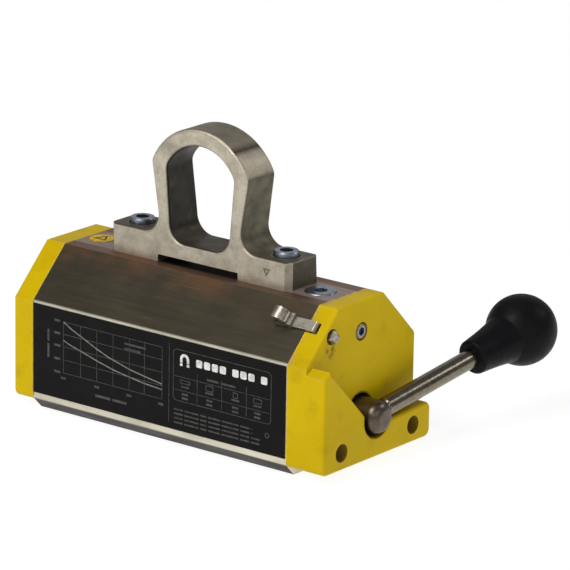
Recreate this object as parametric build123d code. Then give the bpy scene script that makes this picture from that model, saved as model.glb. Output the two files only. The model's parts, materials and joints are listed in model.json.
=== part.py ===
from build123d import *
import os
from math import cos, radians, sin, sqrt

# A manually switched permanent lifting magnet, in millimetres.
# X runs along the housing towards the lever, -Y is the label side, +Z is up.
# The origin is the centre of the flat pole face that grips the load.

# Housing profile (across Y and Z), shared by the pole blocks and the end covers
BODY_END = 100.0            # half length of the pole blocks
HALF_WIDTH = 53.4           # half width over the covers
POLE_HALF_WIDTH = 52.8      # the pole faces stand back to take the label plates
TOP_Z = 101.0
SLOPE_FOOT = 30.4           # the 45 degree shoulder's rise and run
SHOULDER_OFFSET = TOP_Z + HALF_WIDTH - SLOPE_FOOT   # Z - Y on the front shoulder
POLE_FOOT_HALF = 45.2       # half width of the pole face
POLE_BEVEL_Z = 7.7
COVER_BOTTOM_Z = 6.0
COVER_CORNER = 4.5

# Rotor, its bore and bearings
AXIS_Z = 31.0
BORE_R = 23.0
ROTOR_R = 22.7
ROTOR_END = 92.0            # half length of the rotor's steel cores
FLANGE_END = 98.0           # outer face of the rotor's end flanges
FLANGE_R = 22.0
SHAFT_R = 8.0
RUNNING_GAP = 0.05
BUSH_R = 11.0
RIGHT_BUSH_END = 106.0
SEAL_R = 12.0
HUB_POCKET_X = 108.0
HUB_POCKET_R = 12.4
LEFT_BUSH_END = 108.0
WASHER_R = 14.0
WASHER_X = 98.3

# Magnets: one row fixed above the rotor, one row inside it
MAGNET_COUNT = 5
MAGNET_PITCH = 37.0
MAGNET_LENGTH = 36.0
SLOT_HALF = 14.0            # half width of the slot between the pole blocks
RETAINER_Z = 54.3
STATOR_Z = 57.3
BRIDGE_Z = 76.5
ROTOR_SLOT_HALF = 8.5
ROTOR_MAGNET_HALF = 16.0
SEPARATOR_HALF = 4.0
SEPARATOR_TOP = 7.9

# End covers
LEFT_COVER_END = 115.5
PLATE_END = 114.4           # outer face of the right cover's thin plate
BLOCK_END = 128.2           # outer face of its thick lower block
COVER_EDGE = 2.0
LOW_SCREW_Y = 35.5
LOW_SCREW_Z = 17.2
TOP_SCREW_Z = 82.0
SCREW_SEAT_DEPTH = 6.0
EAR_TOP = 28.6
LIP_Y = -47.4
LEDGE_Z = 66.8

# Socket head cap screws: shank radius, head radius, head height, hexagon across flats
M4 = (1.95, 3.5, 4.0, 3.0)
M6 = (2.95, 5.0, 6.0, 5.0)
M10 = (4.9, 8.0, 10.0, 8.0)
TAP_GAP = 0.05
HOLE_GAP = 0.35             # round a shank in a clearance hole
HEAD_GAP = 0.6              # round a head in its counterbore
LOW_TAP_DEPTH = 22.0
TOP_TAP_DEPTH = 19.0
COVER_SCREW_LENGTH = 25.0

# Flange screws of the rotor, beside and above or below its axis
ROTOR_SCREW_Y = 13.5
ROTOR_SCREW_Z = 9.0
ROTOR_SEAT_DEPTH = 4.0
ROTOR_TAP_DEPTH = 15.0
ROTOR_SCREW_LENGTH = 14.0

# Lifting eye
EYE_FRONT_Y = -15.0
EYE_REAR_FOOT = 16.0        # the rear face leans in towards the top, for mould draft
EYE_REAR_TOP = 10.8
EYE_BASE_HALF = 70.5
EYE_BASE_TOP = 118.5
EYE_TOP = 189.5
EYE_SCREW_X = 56.6
EYE_SEAT_Z = 111.8
EYE_SCREW_LENGTH = 28.0
EYE_TAP_BOTTOM = 81.0
EYE_EDGE = 2.5
EYE_CROWN_R = 41.5          # round crown; the straight flanks meet it at an angle
EYE_FLANK_TOP = 38.2
EYE_FLANK_FOOT = 30.4
OPENING_FLOOR_Z = 115.0
OPENING_TOP = 178.6
OPENING_CROWN_R = 29.1
OPENING_FLANK_TOP = 26.2
OPENING_FLANK_FOOT = 22.4
# Rounded corners seen from the front: X, lowest Z, highest Z, radius
EYE_CORNERS = [(EYE_FLANK_TOP, 150, 175, 7.0), (EYE_FLANK_FOOT, 118, 119, 12.0),
               (OPENING_FLANK_TOP, 150, 175, 8.0), (OPENING_FLANK_FOOT, 114, 116, 12.0)]
BASE_SLOT = (-32.0, 31.0)   # shallow slot under the base, along X
BASE_SLOT_HEIGHT = 4.5

# Top face and labels
PLUG_X = 83.2
PLUG_R = 10.0
PLUG_SINK = 2.3
PLUG_HEAD = 3.0
PLUG_SHANK = 10.0
PLUG_SHANK_R = 5.9
PLUG_TAP_BOTTOM = 88.2
MARKER_X = -89.0
MARKER_R = 8.2
LABEL_X = (-99.5, 99.0)
LABEL_Z = (11.7, 69.5)
LABEL_THICK = 0.5

# Lever: angles above +Y seen from the lever end, and the outward tilt at rest
LEVER_OFF = 10.3
LEVER_ON = 134.5
LEVER_TILT = 5.5
LEVER_X = 122.8             # where the rod's axis crosses the rotor axis
ROD_R = 6.0
STOP_GAP = 0.3
HUB_R = 10.4
HUB_START = 108.4
HUB_END = 133.8
HUB_DOME = 6.6
SPIGOT_R = 6.0
SPIGOT_END = 116.0
PRESS_GAP = 0.02
HUB_PIN_X = 112.2
HUB_PIN_R = 2.0
HUB_PIN_HALF = 9.6
PIVOT_PIN_HALF = 9.4
ROD_START = 11.9            # distances along the rod, from the pivot
KNOB_START = 92.0
KNOB_CENTRE = 138.8
KNOB_R = 22.5
KNOB_NECK = 16.5            # where the neck meets the ball, back from its centre
KNOB_MOUTH_R = 9.6
INSERT_R = 8.0
INSERT_LENGTH = 30.0
INSERT_BORE = 28.2
STUD_R = 4.95
STUD_END = 120.0
PIVOT_R = 2.5
TONGUE_HALF = 5.0
TONGUE_HALF_THICK = 4.0

# Safety catch on the front shoulder
BOLT_Y = -29.0
BOLT_Z = 85.2
BOLT_R = 4.0
BOLT_TAIL = 84.0
BOLT_SHOULDER = 107.0
BOLT_TIP = 118.4
BOLT_HOLE_R = 5.0
SPRING_SEAT = 70.0
CATCH_TRAVEL = 6.0
TANG_X = 102.9
TANG_THICK = 2.5
TANG_HALF = 3.0
STRAP_END = 107.4
STRAP_HALF = 3.4
STRAP_LOW = 0.3
STRAP_TOP = 2.5
GRIP_X = 82.0
GRIP_R = 5.4

MIN = (Align.CENTER, Align.CENTER, Align.MIN)


def rod_direction(tilt):
    """Unit vector along the lever rod in the off position."""
    up, out = radians(LEVER_OFF), radians(tilt)
    return Vector(sin(out), cos(out) * cos(up), cos(out) * sin(up))


def tilt_axis():
    """Unit vector of the lever's pivot pin; turning about it folds the rod inwards."""
    up = radians(LEVER_OFF)
    return Vector(0, -sin(up), cos(up))


PIVOT = Vector(LEVER_X, 0, AXIS_Z)


def cylinder(radius, start, direction, length):
    """Solid cylinder from a point along a direction."""
    return Plane(origin=start, z_dir=direction) * Cylinder(radius, length, align=MIN)


def x_cylinder(radius, x0, x1, y=0.0, z=AXIS_Z):
    """Solid cylinder parallel to X."""
    return cylinder(radius, (x0, y, z), (1, 0, 0), x1 - x0)


def block(x0, x1, y0, y1, z0, z1):
    """Rectangular block between two corners."""
    centre = Location(((x0 + x1) / 2, (y0 + y1) / 2, (z0 + z1) / 2))
    return centre * Box(x1 - x0, y1 - y0, z1 - z0)


def prism_x(points, x0, x1):
    """Extrude a closed outline of (Y, Z) points along X."""
    outline = Plane.YZ.offset(x0) * make_face(Polyline(*points, close=True))
    return extrude(outline, amount=x1 - x0)


def hex_recess(top, direction, flats, depth):
    """Hexagon socket that sinks from a point on a screw head."""
    plane = Plane(origin=top, z_dir=direction)
    corner = flats / sqrt(3)
    return extrude(plane * RegularPolygon(corner, 6), amount=-depth)


def cap_screw(seat, direction, size, length):
    """Socket head cap screw: the head stands on the seat, along the direction."""
    shank_r, head_r, head_h, flats = size
    seat, direction = Vector(*seat), Vector(*direction)
    head = cylinder(head_r, seat, direction, head_h)
    rim = head.edges().filter_by(GeomType.CIRCLE).sort_by(Axis(seat, direction))[-1]
    head = chamfer(rim, head_r * 0.09)
    screw = head + cylinder(shank_r, seat - direction * length, direction, length)
    return screw - hex_recess(seat + direction * head_h, direction, flats, head_h * 0.55)


def solid_of(shape):
    """The single solid of a finished shape."""
    return shape.solids()[0]


# ---------------------------------------------------------------- housing

def pole_profile():
    """Outline of the front pole block, clockwise from the bottom slot."""
    slope_z = SHOULDER_OFFSET - POLE_HALF_WIDTH
    return [(-SEPARATOR_HALF, 0), (-POLE_FOOT_HALF, 0), (-POLE_HALF_WIDTH, POLE_BEVEL_Z),
            (-POLE_HALF_WIDTH, slope_z), (-HALF_WIDTH + SLOPE_FOOT, TOP_Z),
            (-SLOT_HALF, TOP_Z), (-SLOT_HALF, AXIS_Z), (-SEPARATOR_HALF, AXIS_Z)]


def pole_block():
    """Steel pole block of the label side, with its half of the rotor bore."""
    body = prism_x(pole_profile(), -BODY_END, BODY_END)
    long_edges = body.edges().filter_by(Axis.X)
    rounded = [e for e in long_edges if e.center().Y < -POLE_HALF_WIDTH + 0.1]
    body = fillet(rounded, 2.5)
    feet = [e for e in body.edges().filter_by(Axis.X)
            if e.center().Z < 0.1 and e.center().Y < -SEPARATOR_HALF - 1]
    body = fillet(feet, 1.0)
    body -= x_cylinder(BORE_R, -BODY_END, BODY_END)
    for x0 in (-BODY_END, BODY_END - LOW_TAP_DEPTH):
        body -= x_cylinder(M6[0] + TAP_GAP, x0, x0 + LOW_TAP_DEPTH, -LOW_SCREW_Y, LOW_SCREW_Z)
    return body


def front_pole():
    """Label-side pole block, drilled for the safety catch."""
    body = pole_block()
    body -= x_cylinder(BOLT_R + RUNNING_GAP, SPRING_SEAT, BODY_END, BOLT_Y, BOLT_Z)
    body -= shoulder_box(TANG_X - CATCH_TRAVEL - 1.0, BODY_END, STRAP_HALF + 0.4, -7.0, 1.0)
    return solid_of(body)


def rear_pole():
    """Pole block of the plain side."""
    return solid_of(mirror(pole_block(), about=Plane.XZ))


def top_bridge():
    """Non-magnetic bridge bar welded between the poles; it carries the lifting eye."""
    bar = block(-BODY_END, BODY_END, -SLOT_HALF, SLOT_HALF, BRIDGE_Z, TOP_Z)
    for x in (-EYE_SCREW_X, EYE_SCREW_X):
        bar -= cylinder(M10[0] + TAP_GAP, (x, 0, EYE_TAP_BOTTOM), (0, 0, 1), 30)
    bar -= cylinder(PLUG_SHANK_R + TAP_GAP, (PLUG_X, 0, PLUG_TAP_BOTTOM), (0, 0, 1), 20)
    bar -= cylinder(PLUG_R + TAP_GAP, (PLUG_X, 0, TOP_Z - PLUG_SINK), (0, 0, 1), 10)
    for x0 in (-BODY_END, BODY_END - TOP_TAP_DEPTH):
        bar -= x_cylinder(M6[0] + TAP_GAP, x0, x0 + TOP_TAP_DEPTH, 0, TOP_SCREW_Z)
    return solid_of(bar)


def lower_separator():
    """Non-magnetic strip between the pole feet, flush with the pole face."""
    return block(-BODY_END, BODY_END, -SEPARATOR_HALF, SEPARATOR_HALF, 0, SEPARATOR_TOP)


def magnet_row(half_y, z0, z1):
    """Row of magnet blocks along X."""
    first = -MAGNET_PITCH * (MAGNET_COUNT - 1) / 2
    centres = [first + i * MAGNET_PITCH for i in range(MAGNET_COUNT)]
    half = MAGNET_LENGTH / 2
    return Compound([block(x - half, x + half, -half_y, half_y, z0, z1) for x in centres])


def magnet_retainer():
    """Non-magnetic strip that holds the fixed magnets up, clear of the rotor."""
    return block(-BODY_END, BODY_END, -SLOT_HALF, SLOT_HALF, RETAINER_Z, STATOR_Z)


# ---------------------------------------------------------------- end covers

def cover_profile():
    """Eight-sided outline of an end cover."""
    side_z = TOP_Z - SLOPE_FOOT
    top_y = HALF_WIDTH - SLOPE_FOOT
    return [(-HALF_WIDTH, COVER_BOTTOM_Z), (HALF_WIDTH, COVER_BOTTOM_Z), (HALF_WIDTH, side_z),
            (top_y, TOP_Z), (-top_y, TOP_Z), (-HALF_WIDTH, side_z)]


def low_corner_edges(body):
    """Long edges of the two lower corners of a cover."""
    edges = body.edges().filter_by(Axis.X)
    return [e for e in edges if e.center().Z < COVER_BOTTOM_Z + 0.1]


def screw_places():
    """(Y, Z) of the three screws of a cover."""
    return [(-LOW_SCREW_Y, LOW_SCREW_Z), (LOW_SCREW_Y, LOW_SCREW_Z), (0, TOP_SCREW_Z)]


def left_cover():
    """Plain end cover with a blind bearing bore."""
    cover = prism_x(cover_profile(), -LEFT_COVER_END, -BODY_END)
    cover = fillet(low_corner_edges(cover), COVER_CORNER)
    cover = fillet(cover.faces().sort_by(Axis.X)[0].outer_wire().edges(), COVER_EDGE)
    cover -= x_cylinder(BUSH_R, -LEFT_BUSH_END, -BODY_END)
    cover -= x_cylinder(SHAFT_R + 1, -LEFT_BUSH_END - 2.5, -BODY_END)
    for y, z in screw_places():
        cover -= x_cylinder(M6[0] + HOLE_GAP, -LEFT_COVER_END, -BODY_END, y, z)
        seat = -LEFT_COVER_END + SCREW_SEAT_DEPTH
        cover -= x_cylinder(M6[1] + HEAD_GAP, -LEFT_COVER_END, seat, y, z)
    return solid_of(cover)


def stop_line(angle, side, y):
    """Z at a given Y on a line beside the hub axis, one rod radius and gap away."""
    a = radians(angle)
    offset = side * (ROD_R + STOP_GAP)
    y0, z0 = offset * sin(a), AXIS_Z - offset * cos(a)
    return z0 + (y - y0) * sin(a) / cos(a)


def block_profile():
    """Outline of the right cover's thick block with its two lever stops."""
    ear_foot = (HUB_R, stop_line(LEVER_OFF, 1, HUB_R) - 0.1)
    step_foot = (-5.0, stop_line(LEVER_ON, -1, -5.0))
    lip = (LIP_Y, stop_line(LEVER_ON, -1, LIP_Y))
    return [(-HALF_WIDTH, COVER_BOTTOM_Z), (HALF_WIDTH, COVER_BOTTOM_Z), (HALF_WIDTH, EAR_TOP),
            ear_foot, step_foot, lip, (-HALF_WIDTH, LEDGE_Z)]


def lever_block():
    """Thick lower part of the right cover."""
    body = prism_x(block_profile(), PLATE_END, BLOCK_END)
    edges = body.edges().filter_by(Axis.X)
    rear = [e for e in edges if e.center().Y > HALF_WIDTH - 0.1]
    body = fillet(rear, 5.0)
    front = [e for e in body.edges().filter_by(Axis.X)
             if e.center().Y < -HALF_WIDTH + 0.1 and e.center().Z < COVER_BOTTOM_Z + 0.1]
    body = fillet(front, COVER_CORNER)
    body -= x_cylinder(HUB_POCKET_R, PLATE_END, BLOCK_END)
    return fillet(body.faces().sort_by(Axis.X)[-1].outer_wire().edges(), COVER_EDGE)


def right_cover():
    """Lever-side cover: thin plate, thick block with stops, bearing bore and catch openings."""
    plate = prism_x(cover_profile(), BODY_END, PLATE_END)
    plate = fillet(low_corner_edges(plate), COVER_CORNER)
    upper = [e for e in plate.faces().sort_by(Axis.X)[-1].outer_wire().edges()
             if e.center().Z > LEDGE_Z + 4]
    plate = fillet(upper, COVER_EDGE)
    cover = plate + lever_block()
    cover -= x_cylinder(BUSH_R, BODY_END, RIGHT_BUSH_END)
    cover -= x_cylinder(SEAL_R, RIGHT_BUSH_END, HUB_POCKET_X)
    cover -= x_cylinder(HUB_POCKET_R, HUB_POCKET_X, BLOCK_END)
    for y, z in screw_places():
        cover -= x_cylinder(M6[0] + HOLE_GAP, BODY_END, BLOCK_END, y, z)
        cover -= x_cylinder(M6[1] + HEAD_GAP, PLATE_END - SCREW_SEAT_DEPTH, BLOCK_END, y, z)
    cover -= x_cylinder(BOLT_HOLE_R, BODY_END, PLATE_END, BOLT_Y, BOLT_Z)
    cover -= shoulder_box(BODY_END, STRAP_END + 1.1, STRAP_HALF + 0.4, -7.0, 2.0)
    return solid_of(cover)


def bush(x0, x1):
    """Plain bearing bush round the rotor axis."""
    return solid_of(x_cylinder(BUSH_R, x0, x1) - x_cylinder(SHAFT_R + RUNNING_GAP, x0, x1))


def shaft_seal():
    """Rubber lip seal outside the right bush."""
    ring = x_cylinder(SEAL_R, RIGHT_BUSH_END, HUB_POCKET_X)
    return solid_of(ring - x_cylinder(SHAFT_R + RUNNING_GAP, RIGHT_BUSH_END, HUB_POCKET_X))


def thrust_washers():
    """Thrust washers between the covers and the rotor flanges."""
    ring = x_cylinder(WASHER_R, WASHER_X, BODY_END) - x_cylinder(SHAFT_R + 0.5, WASHER_X, BODY_END)
    return Compound([solid_of(ring), solid_of(mirror(ring, about=Plane.YZ))])


def cover_screws(end, side):
    """Three cap screws of one cover; side is the X direction the heads face."""
    seat = side * (end - SCREW_SEAT_DEPTH)
    screws = [cap_screw((seat, y, z), (side, 0, 0), M6, COVER_SCREW_LENGTH)
              for y, z in screw_places()]
    return Compound([solid_of(s) for s in screws])


# ---------------------------------------------------------------- lifting eye and small parts

def crown(radius, top, flank_top):
    """Arc of a crown from the top of its flank to the middle, and the flank's top point."""
    centre_z = top - radius
    start = (flank_top, centre_z + sqrt(radius**2 - flank_top**2))
    half = radians(45)
    middle = (radius * sin(half / 2), centre_z + radius * cos(half / 2))
    return ThreePointArc(start, middle, (0, top)), start


def eye_half_outline():
    """Outer edge of the eye from the right end of its base to the crown."""
    arc, flank_top = crown(EYE_CROWN_R, EYE_TOP, EYE_FLANK_TOP)
    base_corner = (EYE_BASE_HALF, EYE_BASE_TOP)
    flank_foot = (EYE_FLANK_FOOT, EYE_BASE_TOP)
    side = Line((EYE_BASE_HALF, TOP_Z), base_corner)
    return [side, Line(base_corner, flank_foot), Line(flank_foot, flank_top), arc]


def eye_opening_half():
    """Edge of the hook opening from its floor to its crown."""
    arc, flank_top = crown(OPENING_CROWN_R, OPENING_TOP, OPENING_FLANK_TOP)
    flank_foot = (OPENING_FLANK_FOOT, OPENING_FLOOR_Z)
    floor = Line((0, OPENING_FLOOR_Z), flank_foot)
    return [floor, Line(flank_foot, flank_top), arc]


def mirrored_face(half, closing):
    """Face bounded by a half outline, its mirror image in X = 0 and a closing line."""
    other = [mirror(edge, about=Plane.YZ) for edge in half]
    return make_face(half + other + closing)


def across_y(face, half_depth):
    """Extrude a face drawn in X and Z symmetrically along Y."""
    placed = Plane.XZ * face
    return extrude(placed, amount=half_depth, both=True)


def eye_side_profile():
    """Outline of the eye seen from its end: upright front face, leaning rear face."""
    lean = (EYE_REAR_FOOT - EYE_REAR_TOP) / (EYE_TOP - TOP_Z)
    rear = [(EYE_REAR_FOOT + lean * over, TOP_Z - over) for over in (5, TOP_Z - EYE_TOP - 5)]
    return [(EYE_FRONT_Y, TOP_Z - 5), rear[0], rear[1], (EYE_FRONT_Y, EYE_TOP + 5)]


def lifting_eye():
    """Cast eye: screwed base bar with a raised hook loop."""
    base_line = [Line((-EYE_BASE_HALF, TOP_Z), (EYE_BASE_HALF, TOP_Z))]
    eye = across_y(mirrored_face(eye_half_outline(), base_line), 20)
    eye -= across_y(mirrored_face(eye_opening_half(), []), 21)
    for x, z_low, z_high, radius in EYE_CORNERS:
        corner = [e for e in eye.edges().filter_by(Axis.Y)
                  if abs(abs(e.center().X) - x) < 0.5 and z_low < e.center().Z < z_high]
        eye = fillet(corner, radius)
    eye = eye & prism_x(eye_side_profile(), -EYE_BASE_HALF - 1, EYE_BASE_HALF + 1)
    ends = [e for e in eye.edges() if abs(e.center().X) > EYE_BASE_HALF - 0.1
            and abs(e.center().Z - (TOP_Z + EYE_BASE_TOP) / 2) < 1]
    eye = chamfer(ends, 3.6)
    faces = [f for f in eye.faces() if abs(f.normal_at().Y) > 0.9]
    rims = [e for f in faces for e in f.edges() if e.center().Z > EYE_BASE_TOP - 4]
    eye = fillet(rims, EYE_EDGE)
    eye -= block(*BASE_SLOT, -20, 20, TOP_Z - 1, TOP_Z + BASE_SLOT_HEIGHT)
    for x in (-EYE_SCREW_X, EYE_SCREW_X):
        eye -= cylinder(M10[0] + 0.6, (x, 0, TOP_Z - 1), (0, 0, 1), 20)
        eye -= cylinder(M10[1] + 0.6, (x, 0, EYE_SEAT_Z), (0, 0, 1), 20)
    return solid_of(eye)


def eye_screws():
    """Two cap screws that hold the eye down."""
    seats = [(x, 0, EYE_SEAT_Z) for x in (-EYE_SCREW_X, EYE_SCREW_X)]
    screws = [cap_screw(seat, (0, 0, 1), M10, EYE_SCREW_LENGTH) for seat in seats]
    return Compound([solid_of(s) for s in screws])


def top_plug():
    """Low-head plug screw in the top face, beside the lever-side cover."""
    seat = TOP_Z - PLUG_SINK
    head = cylinder(PLUG_R, (PLUG_X, 0, seat), (0, 0, 1), PLUG_HEAD)
    rim = head.edges().filter_by(GeomType.CIRCLE).sort_by(Axis.Z)[-1]
    head = fillet(rim, 1.0)
    plug = head + cylinder(PLUG_SHANK_R, (PLUG_X, 0, seat - PLUG_SHANK), (0, 0, 1), PLUG_SHANK)
    return solid_of(plug - hex_recess((PLUG_X, 0, seat + PLUG_HEAD), (0, 0, 1), 8.0, 3.5))


def marker_disc():
    """Thin round marker on the top face, beside the plain cover."""
    return solid_of(cylinder(MARKER_R, (MARKER_X, 0, TOP_Z), (0, 0, 1), 0.5))


def label_plate(side):
    """Thin plate on a pole face; side is -1 at the front and 1 at the rear."""
    inner, outer = side * POLE_HALF_WIDTH, side * (POLE_HALF_WIDTH + LABEL_THICK)
    return block(*LABEL_X, min(inner, outer), max(inner, outer), *LABEL_Z)


# ---------------------------------------------------------------- rotor

def rotor_screw_heights():
    """Z of the flange screws, below and above the axis."""
    return (AXIS_Z - ROTOR_SCREW_Z, AXIS_Z + ROTOR_SCREW_Z)


def rotor_core(side):
    """Steel half of the rotor on one side of its magnets."""
    core = x_cylinder(ROTOR_R, -ROTOR_END, ROTOR_END)
    near, far = side * ROTOR_SLOT_HALF, side * (ROTOR_R + 1)
    core &= block(-ROTOR_END, ROTOR_END, min(near, far), max(near, far), 0, 2 * AXIS_Z)
    for x0 in (-ROTOR_END, ROTOR_END - ROTOR_TAP_DEPTH):
        for z in rotor_screw_heights():
            core -= x_cylinder(M4[0] + TAP_GAP, x0, x0 + ROTOR_TAP_DEPTH, side * ROTOR_SCREW_Y, z)
    return solid_of(core)


def rotor_strips():
    """Brass strips that close the rotor's magnet slot above and below."""
    disc = x_cylinder(ROTOR_R, -ROTOR_END, ROTOR_END)
    low, high = AXIS_Z - ROTOR_MAGNET_HALF, AXIS_Z + ROTOR_MAGNET_HALF
    spans = [(0, low), (high, 2 * AXIS_Z)]
    cut = [disc & block(-ROTOR_END, ROTOR_END, -ROTOR_SLOT_HALF, ROTOR_SLOT_HALF, *span)
           for span in spans]
    return Compound([solid_of(strip) for strip in cut])


def flange():
    """Right rotor flange with its four sunk screw holes."""
    disc = x_cylinder(FLANGE_R, ROTOR_END, FLANGE_END)
    for y in (-ROTOR_SCREW_Y, ROTOR_SCREW_Y):
        for z in rotor_screw_heights():
            disc -= x_cylinder(M4[0] + HEAD_GAP, ROTOR_END, FLANGE_END, y, z)
            disc -= x_cylinder(M4[1] + HEAD_GAP, FLANGE_END - ROTOR_SEAT_DEPTH, FLANGE_END, y, z)
    return disc


def drive_shaft():
    """Flanged shaft that carries the lever hub."""
    shaft = flange() + x_cylinder(SHAFT_R, FLANGE_END, HUB_POCKET_X)
    shaft += x_cylinder(SPIGOT_R, HUB_POCKET_X, SPIGOT_END)
    return solid_of(shaft - hub_pin(PRESS_GAP))


def idler_shaft():
    """Flanged stub shaft at the plain end."""
    stub = mirror(flange(), about=Plane.YZ)
    stub += x_cylinder(SHAFT_R, -LEFT_BUSH_END - 1, -FLANGE_END)
    return solid_of(stub)


def rotor_screws():
    """Cap screws that hold the two flanges on the cores."""
    screws = []
    for side in (-1, 1):
        for y in (-ROTOR_SCREW_Y, ROTOR_SCREW_Y):
            for z in rotor_screw_heights():
                seat = (side * (FLANGE_END - ROTOR_SEAT_DEPTH), y, z)
                screws.append(cap_screw(seat, (side, 0, 0), M4, ROTOR_SCREW_LENGTH))
    return Compound([solid_of(s) for s in screws])


def hub_pin(gap=0.0):
    """Spring pin that locks the hub on the shaft."""
    axis = tilt_axis()
    start = Vector(HUB_PIN_X, 0, AXIS_Z) - axis * HUB_PIN_HALF
    return solid_of(cylinder(HUB_PIN_R + gap, start, axis, 2 * HUB_PIN_HALF))


def pivot_pin():
    """Cross pin on which the lever rod tilts."""
    plane = Plane(origin=PIVOT - tilt_axis() * PIVOT_PIN_HALF, x_dir=(1, 0, 0), z_dir=tilt_axis())
    return solid_of(plane * Cylinder(PIVOT_R, 2 * PIVOT_PIN_HALF, align=MIN))


def pivot_bore(gap):
    """Hole for the cross pin, as long as the pin."""
    start = PIVOT - tilt_axis() * PIVOT_PIN_HALF
    return cylinder(PIVOT_R + gap, start, tilt_axis(), 2 * PIVOT_PIN_HALF)


def lever_hub():
    """Round hub on the shaft end, slotted for the lever rod."""
    hub = x_cylinder(HUB_R, HUB_START, HUB_END)
    hub = fillet(hub.edges().filter_by(GeomType.CIRCLE).sort_by(Axis.X)[-1], HUB_DOME)
    hub -= x_cylinder(SPIGOT_R + PRESS_GAP, HUB_START, SPIGOT_END + 0.4)
    plane = Plane(origin=PIVOT, x_dir=rod_direction(0), z_dir=tilt_axis())
    slot = plane * (Location((3.2, -0.35, 0)) * Box(17.6, 11.9, 8.6))
    hub = hub - slot - pivot_bore(PRESS_GAP) - hub_pin(PRESS_GAP)
    return solid_of(hub)


# ---------------------------------------------------------------- lever

def lever_plane():
    """Local frame of the rod: X along it, Z along the pivot pin."""
    return Plane(origin=PIVOT, x_dir=rod_direction(LEVER_TILT), z_dir=tilt_axis())


def lever_rod():
    """Steel rod with a flat pivot tongue and a stud for the knob."""
    along = rod_direction(LEVER_TILT)
    length = KNOB_START - ROD_START
    rod = cylinder(ROD_R, PIVOT + along * ROD_START, along, length)
    shoulder = rod.edges().filter_by(GeomType.CIRCLE).sort_by(Axis(PIVOT, along))[0]
    rod = chamfer(shoulder, 0.8)
    rod += cylinder(STUD_R, PIVOT + along * KNOB_START, along, STUD_END - KNOB_START)
    thickness = 2 * TONGUE_HALF_THICK
    tongue = Location((ROD_START / 2, 0, 0)) * Box(ROD_START, 2 * TONGUE_HALF, thickness)
    tongue += Cylinder(TONGUE_HALF, thickness)
    rod += lever_plane() * tongue
    return solid_of(rod - pivot_bore(RUNNING_GAP))


def knob_outline():
    """Half section of the pear knob: distance along the rod, radius."""
    neck_join = KNOB_CENTRE - KNOB_NECK
    neck_r = sqrt(KNOB_R**2 - KNOB_NECK**2)
    mouth = (KNOB_START, KNOB_MOUTH_R)
    return make_face([
        Line((KNOB_START, 0), mouth),
        ThreePointArc(mouth, (KNOB_START + 0.55, 10.6), (KNOB_START + 1.8, 11.1)),
        Spline((KNOB_START + 1.8, 11.1), (neck_join, neck_r), tangents=((1, 0.10), (1, 0.24))),
        ThreePointArc((neck_join, neck_r), (KNOB_CENTRE, KNOB_R), (KNOB_CENTRE + KNOB_R, 0)),
        Line((KNOB_CENTRE + KNOB_R, 0), (KNOB_START, 0))])


def insert_blank():
    """Solid cylinder in the shape of the knob's threaded insert."""
    along = rod_direction(LEVER_TILT)
    return cylinder(INSERT_R, PIVOT + along * (KNOB_START + 1.0), along, INSERT_LENGTH)


def lever_knob():
    """Pear-shaped plastic knob."""
    along = rod_direction(LEVER_TILT)
    knob = revolve(lever_plane() * knob_outline(), Axis(PIVOT, along), 360)
    knob -= insert_blank()
    knob -= cylinder(STUD_R + TAP_GAP, PIVOT + along * (KNOB_START - 1), along, 4)
    return solid_of(knob)


def knob_insert():
    """Brass insert moulded into the knob, with the hole that the stud screws into."""
    along = rod_direction(LEVER_TILT)
    start = PIVOT + along * (KNOB_START + 1.0)
    return solid_of(insert_blank() - cylinder(STUD_R + TAP_GAP, start, along, INSERT_BORE))


# ---------------------------------------------------------------- safety catch

def shoulder_plane():
    """Frame on the front shoulder over the bolt: X along the housing, Y up the slope, Z outwards."""
    foot_z = (BOLT_Z + BOLT_Y + SHOULDER_OFFSET) / 2
    return Plane(origin=(0, foot_z - SHOULDER_OFFSET, foot_z), x_dir=(1, 0, 0), z_dir=(0, -1, 1))


def shoulder_box(x0, x1, half, low, high):
    """Block on the shoulder, centred on the bolt's line, between two heights."""
    centre = Location(((x0 + x1) / 2, 0, (low + high) / 2))
    return shoulder_plane() * (centre * Box(x1 - x0, 2 * half, high - low))


def bolt_depth():
    """Depth of the bolt's axis below the shoulder."""
    return (SHOULDER_OFFSET + BOLT_Y - BOLT_Z) / sqrt(2)


def catch_bar():
    """Slide on the shoulder: grip eye, collar, strap and the tang that drives the bolt."""
    plane = shoulder_plane()
    depth = bolt_depth()
    strap = shoulder_box(GRIP_X + 5, STRAP_END, STRAP_HALF, STRAP_LOW, STRAP_TOP)
    bend = [e for e in strap.edges().filter_by(Axis(plane.origin, plane.y_dir))
            if e.center().X > STRAP_END - 0.1]
    strap = fillet([e for e in bend if (e.center() - plane.origin).dot(plane.z_dir) > 1], 1.8)
    collar = shoulder_box(88.0, 91.0, STRAP_HALF + 0.6, STRAP_LOW, 5.0)
    neck = shoulder_box(GRIP_X, 88.5, STRAP_HALF, STRAP_LOW, 6.9)
    turn = Location((GRIP_X, 0, STRAP_LOW + GRIP_R), (90, 0, 0))
    grip = plane * (turn * Cylinder(GRIP_R, 2 * STRAP_HALF + 1))
    hole = plane * (turn * Cylinder(2.0, 20))
    tang = shoulder_box(TANG_X, TANG_X + TANG_THICK, TANG_HALF, -depth, STRAP_LOW + 0.5)
    return solid_of(strap + collar + neck + grip + tang - hole)


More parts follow.
